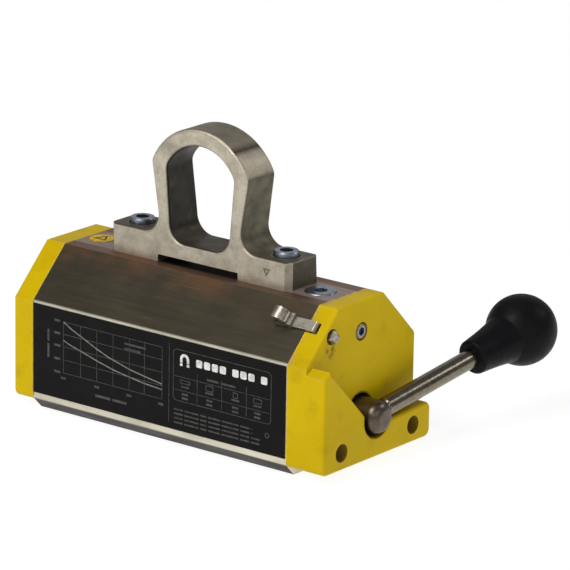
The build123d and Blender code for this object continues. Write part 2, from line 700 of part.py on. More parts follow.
def catch_bolt():
    """Sliding bolt: round tail in the pole block, flat tongue through the cover."""
    depth = bolt_depth()
    plane = shoulder_plane()
    bolt = x_cylinder(BOLT_R, BOLT_TAIL, BOLT_SHOULDER, BOLT_Y, BOLT_Z)
    bolt += shoulder_box(BOLT_SHOULDER - 0.2, BOLT_TIP, STRAP_HALF, -depth - 2.2, -depth + 2.2)
    bolt -= shoulder_box(TANG_X, TANG_X + TANG_THICK, TANG_HALF, -depth, 0)
    tip = [e for e in bolt.edges().filter_by(Axis((0, 0, 0), plane.z_dir.to_tuple()))
           if e.center().X > BOLT_TIP - 0.1]
    bolt = fillet(tip, 2.6)
    return solid_of(bolt)


def catch_spring():
    """Compression spring behind the bolt."""
    wire, turns = 0.45, 6
    length = BOLT_TAIL - SPRING_SEAT - 2 * wire - 0.2
    coil = Helix(pitch=length / turns, height=length, radius=2.9)
    section = Plane(origin=coil @ 0, z_dir=coil % 0) * Circle(wire)
    spring = sweep(section, path=coil, is_frenet=True)
    return solid_of(Plane(origin=(SPRING_SEAT + wire + 0.1, BOLT_Y, BOLT_Z), z_dir=(1, 0, 0)) * spring)


PARTS = {
    "front_pole": front_pole,
    "rear_pole": rear_pole,
    "top_bridge": top_bridge,
    "lower_separator": lower_separator,
    "stator_magnets": lambda: magnet_row(SLOT_HALF, STATOR_Z, BRIDGE_Z),
    "magnet_retainer": magnet_retainer,
    "left_cover": left_cover,
    "right_cover": right_cover,
    "left_bush": lambda: bush(-LEFT_BUSH_END, -BODY_END),
    "right_bush": lambda: bush(BODY_END, RIGHT_BUSH_END),
    "shaft_seal": shaft_seal,
    "thrust_washers": thrust_washers,
    "left_cover_screws": lambda: cover_screws(LEFT_COVER_END, -1),
    "right_cover_screws": lambda: cover_screws(PLATE_END, 1),
    "lifting_eye": lifting_eye,
    "eye_screws": eye_screws,
    "top_plug": top_plug,
    "marker_disc": marker_disc,
    "front_label_plate": lambda: label_plate(-1),
    "rear_label_plate": lambda: label_plate(1),
    "rotor_core_front": lambda: rotor_core(-1),
    "rotor_core_rear": lambda: rotor_core(1),
    "rotor_magnets": lambda: magnet_row(ROTOR_SLOT_HALF, AXIS_Z - ROTOR_MAGNET_HALF,
                                        AXIS_Z + ROTOR_MAGNET_HALF),
    "rotor_strips": rotor_strips,
    "drive_shaft": drive_shaft,
    "idler_shaft": idler_shaft,
    "rotor_screws": rotor_screws,
    "lever_hub": lever_hub,
    "hub_pin": hub_pin,
    "lever_pivot_pin": pivot_pin,
    "lever_rod": lever_rod,
    "lever_knob": lever_knob,
    "knob_insert": knob_insert,
    "catch_bar": catch_bar,
    "catch_bolt": catch_bolt,
    "catch_spring": catch_spring,
}

os.makedirs("parts", exist_ok=True)
for name, make in PARTS.items():
    export_step(make(), f"parts/{name}.step")
    print(name)
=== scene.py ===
import json
import math
import bmesh
import bpy
from mathutils import Matrix, Vector


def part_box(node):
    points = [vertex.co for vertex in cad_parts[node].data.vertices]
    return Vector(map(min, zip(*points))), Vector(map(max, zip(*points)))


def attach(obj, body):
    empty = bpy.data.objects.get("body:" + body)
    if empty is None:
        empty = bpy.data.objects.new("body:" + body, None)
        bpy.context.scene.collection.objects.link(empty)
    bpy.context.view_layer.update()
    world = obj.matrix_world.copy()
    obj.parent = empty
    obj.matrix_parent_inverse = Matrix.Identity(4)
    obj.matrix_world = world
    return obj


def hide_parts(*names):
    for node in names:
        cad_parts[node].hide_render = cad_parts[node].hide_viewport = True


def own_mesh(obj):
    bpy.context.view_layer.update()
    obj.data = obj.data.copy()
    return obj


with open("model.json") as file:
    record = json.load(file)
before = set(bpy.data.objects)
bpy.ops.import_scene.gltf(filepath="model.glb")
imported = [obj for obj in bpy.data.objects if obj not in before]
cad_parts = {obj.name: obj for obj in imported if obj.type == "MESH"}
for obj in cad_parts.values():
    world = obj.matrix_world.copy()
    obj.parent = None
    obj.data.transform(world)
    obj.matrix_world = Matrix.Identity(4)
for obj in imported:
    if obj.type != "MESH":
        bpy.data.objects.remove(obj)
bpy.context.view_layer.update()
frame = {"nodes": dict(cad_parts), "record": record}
nodes = frame["nodes"]

# Looks of a manually switched lifting magnet. Metres; -Y is the label side, the lever is at +X.

MM = 0.001

# Places on the CAD model that wear, dirt, paint and painted shade follow, in metres.
COVER_START = 0.1000                      # distance from the middle where the end covers begin
WORN_STRIP_X = (0.0990, 0.0995, 0.1015, 0.1036)   # inner top edge of the lever-side cover
HOLE_AXES = ((-0.0355, 0.0172), (0.0355, 0.0172), (0.0, 0.082))   # cover screws, (Y, Z)
HOLE_RADIUS = 0.0060
SCREW_FACE_RADIUS = 0.0036                # bare middle of a cover screw's head
ROTOR_AXIS = (0.0, 0.031)                 # (Y, Z)
POCKET_RADIUS = 0.0135                    # pocket round the lever's hub
PATCH_UNDER_CATCH = (0.1144, -0.0305, 0.0775)      # under the catch's tongue
TOP_FACE_Z = 0.1005
EYE_SLOT_X = (-0.0320, 0.0310)            # slot between the eye's base and the top face
EYE_SLOT_HALF_Y = 0.0155
SOFT = 0.0002                             # half width of a mask's soft edge


# ------------------------------------------------------------------ node helpers

def srgb(r, g, b):
    """Linear colour from 8-bit screen values."""
    def linear(v):
        v /= 255
        return v / 12.92 if v <= 0.04045 else ((v + 0.055) / 1.055) ** 2.4
    return (linear(r), linear(g), linear(b), 1.0)


class Look:
    """One procedural material and the short calls that build it."""

    def __init__(self, name):
        self.material = bpy.data.materials.new(name)
        self.material.use_nodes = True
        self.tree = self.material.node_tree
        self.tree.nodes.clear()
        self.coords = self.add("TexCoord")
        self.place = self.coords.outputs["Object"]
        self.shader = self.add("BsdfPrincipled")
        output = self.add("OutputMaterial")
        self.tree.links.new(self.shader.outputs[0], output.inputs["Surface"])

    def add(self, kind, inputs=None, **settings):
        """New node; inputs are numbers, colours or other nodes' outputs."""
        node = self.tree.nodes.new("ShaderNode" + kind)
        for key, value in settings.items():
            setattr(node, key, value)
        for key, value in (inputs or {}).items():
            self.put(node.inputs[key], value)
        return node

    def put(self, socket, value):
        """Link an output to a socket, or set its number."""
        if isinstance(value, bpy.types.NodeSocket):
            self.tree.links.new(value, socket)
        else:
            socket.default_value = value

    def math(self, operation, a, b=0.0, clamp=False):
        node = self.add("Math", {0: a, 1: b}, operation=operation, use_clamp=clamp)
        return node.outputs[0]

    def times(self, a, b):
        """Product of two masks."""
        return self.math("MULTIPLY", a, b)

    def span(self, value, low, high, to_low=0.0, to_high=1.0):
        """Map low..high to to_low..to_high, clamped."""
        node = self.add("MapRange", {"Value": value, "From Min": low, "From Max": high,
                                     "To Min": to_low, "To Max": to_high})
        return node.outputs[0]

    def noise(self, size, detail=4.0, stretch=(1, 1, 1), distortion=0.0):
        """Noise with features of about size metres; stretch lengthens them along an axis."""
        scale = tuple(1 / (size * s) for s in stretch)
        mapping = self.add("Mapping", {"Vector": self.place, "Scale": scale})
        node = self.add("TexNoise", {"Vector": mapping.outputs[0], "Scale": 1.0,
                                     "Detail": detail, "Distortion": distortion})
        return node.outputs["Fac"]

    def cells(self, size):
        """Distance to the nearest cell centre, for pits and specks."""
        node = self.add("TexVoronoi", {"Vector": self.place, "Scale": 1 / size})
        return node.outputs["Distance"]

    def mix(self, a, b, fac, blend="MIX"):
        node = self.add("Mix", data_type="RGBA", blend_type=blend)
        self.put(node.inputs[0], fac)
        self.put(node.inputs[6], a)
        self.put(node.inputs[7], b)
        return node.outputs[2]

    def shaded(self, colour, shade):
        """Colour times one brightness."""
        grey = self.add("CombineColor", {0: shade, 1: shade, 2: shade})
        return self.mix(colour, grey.outputs[0], 1.0, "MULTIPLY")

    def axis(self, name, of="Normal"):
        """One component of the object-space normal or place."""
        split = self.add("SeparateXYZ", {0: self.coords.outputs[of]})
        return split.outputs[name]

    def edges(self, radius, low=0.80, high=0.97):
        """1 on edges sharper than the radius, 0 on flat faces."""
        bevel = self.add("Bevel", {"Radius": radius}, samples=6)
        true = self.add("NewGeometry").outputs["Normal"]
        dot = self.add("VectorMath", {0: bevel.outputs[0], 1: true}, operation="DOT_PRODUCT")
        return self.span(dot.outputs["Value"], low, high, 1.0, 0.0)

    def bump(self, height, depth, normal=None):
        node = self.add("Bump", {"Height": height, "Distance": depth, "Strength": 1.0})
        if normal is not None:
            self.put(node.inputs["Normal"], normal)
        return node.outputs[0]

    def finish(self, colour, roughness, metallic=0.0, normal=None, specular=0.5):
        """Feed the shader and give back the material."""
        self.put(self.shader.inputs["Base Color"], colour)
        self.put(self.shader.inputs["Roughness"], roughness)
        self.put(self.shader.inputs["Metallic"], metallic)
        self.shader.inputs["Specular IOR Level"].default_value = specular
        if normal is not None:
            self.put(self.shader.inputs["Normal"], normal)
        return self.material


# ------------------------------------------------------------------ materials

def near_axis(k, axis, radius):
    """1 within a radius of a line parallel to X, 0 outside it."""
    flat = k.add("VectorMath", {0: k.place, 1: (0, 1, 1)}, operation="MULTIPLY").outputs[0]
    away = k.add("VectorMath", {0: flat, 1: (0, *axis)}, operation="DISTANCE").outputs["Value"]
    return k.span(away, radius - SOFT, radius, 1.0, 0.0)


def yellow_paint():
    """Glossy enamel with orange peel, chipped edges and a little grime; a painted highlight on the
    rims and painted shade in the drilled holes and the hub pocket.
    """
    k = Look("yellow_paint")
    tone = k.noise(0.045, 3)
    colour = k.mix(srgb(206, 176, 2), srgb(195, 165, 1), k.span(tone, 0.35, 0.65))
    grime = k.span(k.noise(0.016, 6), 0.56, 0.75)
    colour = k.mix(colour, srgb(120, 96, 12), k.times(grime, 0.22))
    specks = k.span(k.noise(0.0016, 2), 0.74, 0.78)
    colour = k.mix(colour, srgb(84, 66, 18), k.times(specks, 0.6))
    # Darker broken patch on the cover plate just under the catch hole.
    colour = k.mix(colour, srgb(58, 44, 14), dark_patch_under_catch(k))
    chips = k.span(k.noise(0.0042, 7), 0.47, 0.56)
    rims = k.edges(0.0022, 0.90, 0.985)
    # Lighter yellow on the rims is a painted highlight; the same rim mask also places the wear
    # below.
    colour = k.mix(colour, srgb(228, 204, 40), k.times(rims, 0.45))
    along = k.axis("X", "Object")
    start, full, fading, end = WORN_STRIP_X
    inner_top = k.times(k.span(along, fading, end, 1.0, 0.0), k.span(k.axis("Z"), 0.55, 0.9))
    inner_top = k.times(inner_top, k.span(along, start, full))
    worn = k.times(k.math("MAXIMUM", k.times(rims, 0.5), inner_top), chips)
    colour = k.mix(colour, srgb(176, 142, 100), worn)
    # Darker inside the hub pocket: grease, and painted shade of the recess.
    pocket = k.times(near_axis(k, ROTOR_AXIS, POCKET_RADIUS), k.span(along, 0.0, MM))
    grease_and_shade = k.span(k.noise(0.004, 5), 0.3, 0.6, 0.55, 0.9)
    colour = k.mix(colour, srgb(70, 54, 14), k.times(pocket, grease_and_shade))
    # Darker paint tone inside the screw holes: painted shade of the recesses.
    for axis in HOLE_AXES:
        colour = k.mix(colour, srgb(138, 112, 34), near_axis(k, axis, HOLE_RADIUS))
    normal = k.bump(k.noise(0.0013, 2), 0.00003)
    normal = k.bump(worn, -0.00006, normal)
    rough = k.span(k.noise(0.006, 4), 0.3, 0.7, 0.34, 0.48)
    return k.finish(colour, rough, 0.0, normal, 0.07)


def dark_patch_under_catch(k):
    """Dark broken patch on the cover plate just under the catch hole."""
    near = k.add("VectorMath", {0: k.place, 1: PATCH_UNDER_CATCH}, operation="DISTANCE").outputs["Value"]
    spot = k.span(near, 0.0012, 0.0070, 1.0, 0.0)
    broken = k.span(k.noise(0.0035, 6), 0.44, 0.58)
    return k.times(k.times(spot, broken), 0.8)


def rolled_steel(name, front, slope_shade, top, under, metallic=0.85):
    """Bare structural steel: upright ground faces lighter, slopes and downward faces darker as
    painted shade, level tops a separate tone that also stands in for their light, long scratches.
    """
    k = Look(name)
    streak = k.noise(0.0035, 6, stretch=(14, 1, 1))
    patch = k.noise(0.030, 4)
    nz = k.axis("Z")
    down = k.times(nz, -1.0)
    flat = k.span(nz, 0.8, 0.98)
    # Colour by facing is painted light: slopes and downward faces get painted shade, upright faces
    # a lit tone.
    colour = k.mix(front, slope_shade, k.span(nz, 0.25, 0.6))
    colour = k.mix(colour, top, flat)
    colour = k.mix(colour, under, k.span(down, 0.2, 0.7))
    colour = k.mix(colour, front, k.span(down, 0.9, 0.99))
    shade = k.times(k.span(streak, 0.3, 0.7, 0.90, 1.10),
                   k.span(patch, 0.3, 0.7, 0.86, 1.14))
    colour = k.shaded(colour, shade)
    height = k.axis("Z", "Object")
    seam = k.times(k.span(height, 0.088, TOP_FACE_Z), k.span(patch, 0.42, 0.60))
    rust = k.span(k.axis("X", "Object"), 0.02, 0.07, 0.42, 0.10)
    colour = k.mix(colour, srgb(128, 82, 50), k.times(seam, rust))
    scratches = k.span(k.noise(0.0006, 8, stretch=(40, 1.2, 1.2)), 0.62, 0.68)
    colour = k.mix(colour, srgb(128, 120, 104), k.times(scratches, 0.16))
    # Lighter edges: worn bright steel, and a painted highlight.
    edge = k.times(k.edges(0.0007), k.span(patch, 0.35, 0.6, 0.3, 0.8))
    colour = k.mix(colour, srgb(178, 170, 152), edge)
    normal = k.bump(streak, 0.00002)
    normal = k.bump(scratches, -0.00001, normal)
    rough = k.span(k.noise(0.004, 5, stretch=(6, 1, 1)), 0.3, 0.7, 0.40, 0.55)
    # Near-black painted shade in the narrow slot under the eye's base.
    slot = k.times(under_eye(k), flat)
    colour = k.mix(colour, srgb(26, 22, 18), slot)
    return k.finish(colour, rough, metallic, normal)


def under_eye(k):
    """1 in the slot under the eye's base, 0 elsewhere."""
    along = k.axis("X", "Object")
    across = k.math("ABSOLUTE", k.axis("Y", "Object"))
    left, right = EYE_SLOT_X
    inside = k.times(k.span(along, left - SOFT, left + SOFT),
                     k.span(along, right - SOFT, right + SOFT, 1.0, 0.0))
    return k.times(inside, k.span(across, 0.0140, EYE_SLOT_HALF_Y, 1.0, 0.0))


def cast_eye():
    """Blasted casting: front and rear faces lighter, partly as ground faces and partly as painted
    light; other faces darker as painted shade; painted highlights on the shoulders and edges; a
    dark opening with painted shade.
    """
    k = Look("cast_eye")
    # Front and rear faces lighter: partly ground faces, partly painted light by facing; the other
    # faces are painted shade.
    face = k.span(k.math("ABSOLUTE", k.axis("Y")), 0.50, 0.78)
    mottle = k.noise(0.009, 4)
    speck = k.noise(0.0014, 3)
    light = k.mix(srgb(194, 185, 167), srgb(174, 166, 148), k.span(mottle, 0.38, 0.62))
    dark = k.mix(srgb(106, 99, 80), srgb(88, 81, 65), k.span(mottle, 0.38, 0.62))
    height = k.axis("Z", "Object")
    across = k.math("ABSOLUTE", k.axis("X", "Object"))
    inside = k.times(k.span(across, 0.0266, 0.0290, 1.0, 0.0),
                    k.span(height, 0.1800, 0.1830, 1.0, 0.0))
    up = k.axis("Z")
    # Painted highlight on the upper shoulders of the eye.
    shoulder_highlight = k.times(k.span(up, 0.15, 0.40), k.span(up, 0.60, 0.95, 1.0, 0.25))
    shoulder_highlight = k.times(shoulder_highlight, k.span(height, 0.150, 0.160))
    dark = k.mix(dark, srgb(176, 167, 148), k.times(shoulder_highlight, 0.90))
    ends = k.times(k.span(height, 0.1185, 0.125, 1.0, 0.0),
                  k.span(across, 0.0425, 0.0465))
    dark = k.mix(dark, srgb(84, 78, 64), k.times(ends, 0.8))
    # Darker inside the opening: unblasted casting and painted shade of the hollow, lighter on
    # upward faces.
    opening_tone_and_shade = k.mix(srgb(32, 26, 15), srgb(60, 52, 38), k.span(up, 0.3, 0.9))
    dark = k.mix(dark, opening_tone_and_shade, k.times(inside, 0.92))
    # Near-black painted shade in the slot under the eye's base.
    slot = k.times(under_eye(k), k.span(height, 0.1053, 0.1058, 1.0, 0.0))
    dark = k.mix(dark, srgb(24, 21, 17), slot)
    low = k.span(height, 0.100, 0.165, 0.28, 0.0)
    light = k.mix(light, srgb(118, 111, 98), low)
    colour = k.mix(dark, light, face)
    shade = k.span(speck, 0.3, 0.7, 0.90, 1.10)
    colour = k.shaded(colour, shade)
    grime = k.span(k.noise(0.013, 6), 0.60, 0.72)
    colour = k.mix(colour, srgb(92, 82, 64), k.times(grime, 0.30))
    # Painted highlight along the edges, broken up by the mottle.
    edge = k.times(k.edges(0.0016, 0.88, 0.99), k.span(mottle, 0.4, 0.6, 0.3, 1.0))
    colour = k.mix(colour, srgb(206, 198, 180), k.times(edge, 0.55))
    normal = k.bump(k.noise(0.0009, 4), 0.00010)
    normal = k.bump(k.cells(0.0024), 0.00006, normal)
    rough = k.span(mottle, 0.3, 0.7, 0.40, 0.55)
    return k.finish(colour, rough, 0.55, normal)


def rim_enamel_and_shade(k):
    """1 on the rims of the cover screws' heads, where the enamel runs over them and where shade of
    the holes is painted.
    """
    mask = k.span(k.math("ABSOLUTE", k.axis("X", "Object")), COVER_START, COVER_START + 0.0005)
    for axis in HOLE_AXES:
        inside = near_axis(k, axis, SCREW_FACE_RADIUS)
        mask = k.times(mask, k.math("SUBTRACT", 1.0, inside))
    return mask


def machined(name, base, dirt, roughness, along=(1, 14, 14), metallic=1.0, relief=0.000012,
             edge_width=0.0004, painted=None):
    """Turned, ground or plated metal with fine tool marks and a stained film."""
    k = Look(name)
    marks = k.noise(0.0005, 6, stretch=along)
    film = k.noise(0.005, 5, distortion=0.8)
    colour = k.mix(base, dirt, k.span(film, 0.45, 0.75, 0.0, 0.8))
    shade = k.span(marks, 0.3, 0.7, 0.86, 1.12)
    colour = k.shaded(colour, shade)
    # Painted highlight: lighter along sharp edges.
    edge = k.times(k.edges(edge_width), 0.6)
    colour = k.mix(colour, srgb(214, 210, 200), edge)
    if painted is not None:
        # Dark yellow-brown on the cover screws' rims: enamel over them, and painted shade of the
        # screw holes.
        cover = painted(k)
        colour = k.mix(colour, srgb(128, 104, 30), cover)
        metallic = k.math("SUBTRACT", metallic, cover, True)
    normal = k.bump(marks, relief)
    rough = k.span(k.noise(0.003, 4), 0.3, 0.7, roughness - 0.03, roughness + 0.05)
    return k.finish(colour, rough, metallic, normal)


def moulded(name, base, worn, roughness, grain=0.0007, depth=0.00003, specular=0.5):
    """Moulded plastic, rubber or printed film with a fine grain and handling marks."""
    k = Look(name)
    film = k.noise(0.012, 5, distortion=0.6)
    colour = k.mix(base, worn, k.span(film, 0.45, 0.75, 0.0, 0.6))
    colour = k.mix(colour, worn, k.times(k.edges(0.0006), 0.5))
    normal = k.bump(k.noise(grain, 3), depth)
    rough = k.span(k.noise(0.005, 5), 0.3, 0.7, roughness - 0.06, roughness + 0.08)
    return k.finish(colour, rough, 0.0, normal, specular)


def painted_mark(name, base, faded):
    """Screen-printed or painted marking, a little uneven."""
    k = Look(name)
    colour = k.mix(base, faded, k.span(k.noise(0.003, 5), 0.4, 0.65))
    normal = k.bump(k.noise(0.0006, 3), 0.00001)
    rough = k.span(k.noise(0.004, 4), 0.3, 0.7, 0.38, 0.52)
    return k.finish(colour, rough, 0.0, normal, 0.15)


def make_materials():
    """The materials by the record's slot names, and a few for printed pieces."""
    steel = srgb(150, 146, 138)
    oil = srgb(104, 96, 82)
    return {
        "yellow_paint": yellow_paint(),
        "pole_steel": rolled_steel("pole_steel", srgb(214, 207, 189), srgb(72, 66, 54),
                                   srgb(130, 104, 88), srgb(34, 31, 25)),
        "bridge_steel": rolled_steel("bridge_steel", srgb(140, 132, 120), srgb(90, 82, 72),
                                     srgb(152, 136, 128), srgb(60, 56, 50), 0.5),
        "cast_eye": cast_eye(),
        "brass": machined("brass", srgb(196, 164, 92), srgb(130, 98, 52), 0.38),
        "bronze": machined("bronze", srgb(170, 118, 70), srgb(104, 70, 42), 0.42),
        "magnet_nickel": machined("magnet_nickel", srgb(176, 174, 168), srgb(120, 116, 108), 0.30),
        "zinc_screw": machined("zinc_screw", srgb(146, 155, 168), srgb(92, 100, 112), 0.32,
                               along=(6, 6, 6), painted=rim_enamel_and_shade),
        "catch_zinc": machined("catch_zinc", srgb(172, 166, 156), srgb(124, 116, 104), 0.40,
                               edge_width=0.0009),
        "rotor_steel": machined("rotor_steel", steel, oil, 0.34),
        "shaft_steel": machined("shaft_steel", steel, oil, 0.26),
        "hub_steel": machined("hub_steel", srgb(104, 94, 84), srgb(76, 66, 56), 0.36,
                              along=(3, 8, 8), relief=0.000004),
        "rod_steel": machined("rod_steel", srgb(128, 121, 106), srgb(102, 93, 78), 0.22,
                              along=(1.5, 16, 2), relief=0.000001),
        "spring_steel": machined("spring_steel", srgb(120, 118, 114), srgb(84, 80, 72), 0.34),
        "knob_black": moulded("knob_black", srgb(11, 11, 14), srgb(20, 19, 21), 0.46,
                              specular=0.10),
        "seal_rubber": moulded("seal_rubber", srgb(24, 24, 24), srgb(52, 50, 46), 0.60),
        "label_black": moulded("label_black", srgb(18, 17, 17), srgb(25, 24, 23), 0.42,
                               grain=0.0004, depth=0.000006, specular=0.07),
        "marker_yellow": painted_mark("marker_yellow", srgb(216, 182, 20), srgb(176, 146, 30)),
        "print_grey": painted_mark("print_grey", srgb(78, 77, 76), srgb(56, 55, 54)),
        "print_light": painted_mark("print_light", srgb(128, 127, 125), srgb(98, 97, 95)),
        "print_white": painted_mark("print_white", srgb(224, 224, 222), srgb(186, 186, 184)),
        "mark_dark": painted_mark("mark_dark", srgb(52, 44, 26), srgb(88, 76, 44)),
        "cast_mark": machined("cast_mark", srgb(120, 112, 92), srgb(84, 76, 60), 0.5),
    }


def node_slots():
    """The record's material slot of each CAD node."""
    return {s["node"]: s["material_slot"] for s in frame["record"]["subparts"]}


# ------------------------------------------------------------------ printed and cast pieces


def new_piece(name, bm, material, body="housing"):
    """Object from a finished bmesh, riding on a CAD body."""
    bmesh.ops.recalc_face_normals(bm, faces=bm.faces)
    mesh = bpy.data.meshes.new(name)
    bm.to_mesh(mesh)
    bm.free()
    piece = bpy.data.objects.new(name, mesh)
    bpy.context.scene.collection.objects.link(piece)
    mesh.materials.append(material)
    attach(piece, body)
    return piece


def prism(bm, outline, place, low, high):
    """Closed prism over a flat outline; place(u, v, height) gives the point in the frame."""
    base = [bm.verts.new(place(u, v, low)) for u, v in outline]
    top = [bm.verts.new(place(u, v, high)) for u, v in outline]
    bm.faces.new(base)
    bm.faces.new(top)
    for i in range(len(outline)):
        j = (i + 1) % len(outline)
        bm.faces.new((base[i], base[j], top[j], top[i]))


def line_outline(points, width):
    """Outline of an open printed line."""
    left, right = [], []
    for i, point in enumerate(points):
        p = Vector(point)
        before = (p - Vector(points[i - 1])).normalized() if i else None
        after = (Vector(points[i + 1]) - p).normalized() if i + 1 < len(points) else None
        ways = [w for w in (before, after) if w is not None]
        way = sum(ways, Vector((0, 0))).normalized()
        side = Vector((-way.y, way.x)) * width / 2 / max(0.5, way.dot(ways[0]))
        left.append(p + side)
        right.append(p - side)
    return left + right[::-1]


def rounded_rectangle(x0, x1, z0, z1, radius):
    """Points of a rectangle with round corners, from the lower left straight."""
    points = []
    corners = [(x1 - radius, z0 + radius, -90), (x1 - radius, z1 - radius, 0),
               (x0 + radius, z1 - radius, 90), (x0 + radius, z0 + radius, 180)]
    for cx, cz, start in corners:
        for step in range(7):
            a = math.radians(start + 15 * step)
            points.append((cx + radius * math.cos(a), cz + radius * math.sin(a)))
    return points


def frame_band(bm, outer, inner, place, low, high):
    """Closed ring-shaped prism between two outlines with the same number of points."""
    count = len(outer)
    rows = [[bm.verts.new(place(u, v, h)) for u, v in line]
            for line, h in ((outer, low), (outer, high), (inner, high), (inner, low))]
    for i in range(count):
        j = (i + 1) % count
        for a in range(4):
            b = (a + 1) % 4
            bm.faces.new((rows[a][i], rows[a][j], rows[b][j], rows[b][i]))


def bar(x0, x1, z, thick):
    """Outline of a short horizontal bar that stands for a word."""
    return [(x0, z - thick / 2), (x1, z - thick / 2), (x1, z + thick / 2), (x0, z + thick / 2)]


def words(x0, x1, z, thick, lengths, gap):
    """A row of bars of the given lengths, repeated until the row is full."""
    row, x, i = [], x0, 0
    while x < x1:
        end = min(x + lengths[i % len(lengths)], x1)
        row.append(bar(x, end, z, thick))
        x, i = end + gap, i + 1
    return row


# Label layout in millimetres, seen from the front: x along the plate, z up.
GRAPH_X = (-75.0, -61.0, -48.0, -35.0, -22.0, -10.0, 4.0)
GRAPH_Z = (62.0, 54.0, 46.0, 37.5, 29.0)
UPPER_CURVE = ((-75, 62), (-68, 58.3), (-61, 55.5), (-48, 50), (-38, 46.5), (-22, 42.5),
               (-10, 40.5), (4, 38.5))
LOWER_CURVE = ((-75, 50), (-68, 47.7), (-61, 46), (-48, 42.5), (-35, 39.5), (-22, 37.5),
               (-10, 36), (4, 35))
RULE = 0.35                        # width of the fine lines
DIVIDER_X, DIVIDER_Z = 9.5, (16, 66)
COLUMN_RULES_X, COLUMN_RULES_Z = (31.5, 50.5, 69.5), (32.0, 50.5)
ROW_RULES_X, ROW_RULES_Z = (14, 87), (37.6, 46.2)
COLUMNS_X = (22, 41, 61, 78)
NOTES_Z = (25.0, 22.2, 19.4, 16.6)
BOX = (12.6, 88.4, 30.6, 63.4)
SEAL = (85.5, 23.5)
TITLE_GROUPS = (4, 3, 1)

# Ink heights in millimetres. Each layer has its own, so crossing prints share no face.
GRID_INK, RULE_INK, FRAME_INK = 0.035, 0.045, 0.05
TEXT_INK, TITLE_INK, CURVE_INK = 0.055, 0.06, 0.065


def grid_lines():
    """Upright lines of the graph and the table, and the line between them."""
    lines = [[(x, GRAPH_Z[-1]), (x, GRAPH_Z[0])] for x in GRAPH_X]
    lines += [[(x, z) for z in COLUMN_RULES_Z] for x in COLUMN_RULES_X]
    lines += [[(DIVIDER_X, z) for z in DIVIDER_Z]]
    return [line_outline(line, RULE) for line in lines]


def cross_lines():
    """Level lines of the graph and the table."""
    lines = [[(GRAPH_X[0], z), (GRAPH_X[-1], z)] for z in GRAPH_Z]
    lines += [[(x, z) for x in ROW_RULES_X] for z in ROW_RULES_Z]
    return [line_outline(line, RULE) for line in lines]


def small_print():
    """Bars that stand for the figures and words of the label."""
    rows = [bar(-82.5, -77.5, z, 1.5) for z in GRAPH_Z]
    rows += [bar(x - 2, x + 2, 25.6, 1.5) for x in (-75, -48, -22, 3)]
    rows += [bar(-49, -37, 20, 1.6), bar(-35.5, -24, 20, 1.6)]
    rows += [bar(-26, -9, 58.2, 1.2), bar(-26, -13, 55.0, 1.2)]
    rows += words(39, 61, 48.6, 1.3, (9, 12), 1.6)
    for x in COLUMNS_X:
        rows += [bar(x - 2.4, x + 2.4, 35.6, 1.3), bar(x - 2.4, x + 2.4, 33.0, 1.3)]
        rows += [bar(x - 3, x + 3, 40.2, 1.1)]
    for z in NOTES_Z:
        rows += words(13.5, 74 if z > 20 else 80, z, 0.9, (7, 11, 5, 9, 13), 1.3)
    return rows


def upright_print():
    """The upright caption beside the graph."""
    return [[(-88, 37), (-86.4, 37), (-86.4, 46), (-88, 46)],
            [(-88, 47.5), (-86.4, 47.5), (-86.4, 55), (-88, 55)]]


def label_symbols():
    """Plain outlines above the table columns: plate, bar, tube and block."""
    shapes, z, line = [], 43.3, 0.5
    for x, (half, rise) in zip(COLUMNS_X, ((4.0, 1.2), (3.0, 1.9), (1.9, 1.9), (3.4, 1.6))):
        outer = rounded_rectangle(x - half, x + half, z - rise, z + rise, 0.6)
        inner = rounded_rectangle(x - half + line, x + half - line,
                                  z + line - rise, z - line + rise, 0.3)
        shapes.append((outer, inner))
    return shapes


def magnet_symbol(cx, cz):
    """Outlines of a horseshoe magnet and its two tips, the label's generic title symbol."""
    outer, inner, leg = 3.6, 1.7, cz - 2.2
    turns = [math.radians(22.5 * s) for s in range(9)]
    bow = [(cx + outer * math.cos(a), cz + outer * math.sin(a)) for a in turns]
    bow += [(cx - outer, leg), (cx - inner, leg)]
    bow += [(cx + inner * math.cos(a), cz + inner * math.sin(a)) for a in reversed(turns)]
    bow += [(cx + inner, leg), (cx + outer, leg)]
    return [bow, bar(cx - outer, cx - inner, leg - 1.35, 1.7),
            bar(cx + inner, cx + outer, leg - 1.35, 1.7)]


def print_label(side, look):
    """All printed lines of one label plate; side is -1 at the front and 1 at the rear."""
    name = "front" if side < 0 else "rear"
    low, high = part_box(name + "_label_plate")
    surface = low.y if side < 0 else high.y

    def place(x, z, height):
        return (-side * x * MM, surface + side * height * MM, z * MM)

    fine = bmesh.new()
    for outlines, top in ((grid_lines(), GRID_INK), (cross_lines(), RULE_INK),
                          (small_print() + upright_print(), TEXT_INK)):
        for outline in outlines:
            prism(fine, outline, place, 0.0, top)
    for outer, inner in label_symbols():
        frame_band(fine, outer, inner, place, 0.0, FRAME_INK)
    x0, x1, z0, z1 = BOX
    frame_band(fine, rounded_rectangle(x0, x1, z0, z1, 3.0),
               rounded_rectangle(x0 + 0.4, x1 - 0.4, z0 + 0.4, z1 - 0.4, 2.6),
               place, 0.0, FRAME_INK)
    frame_band(fine, circle(*SEAL, 1.7), circle(*SEAL, 1.1), place, 0.0, FRAME_INK)
    new_piece(name + "_label_print", fine, look["print_grey"])

    curves = bmesh.new()
    for curve in (UPPER_CURVE, LOWER_CURVE):
        prism(curves, line_outline(curve, 0.75), place, 0.0, CURVE_INK)
    new_piece(name + "_label_curves", curves, look["print_light"])

    title = bmesh.new()
    for outline in magnet_symbol(21.6, 57.6) + title_blocks():
        prism(title, outline, place, 0.0, TITLE_INK)
    new_piece(name + "_label_title", title, look["print_white"])


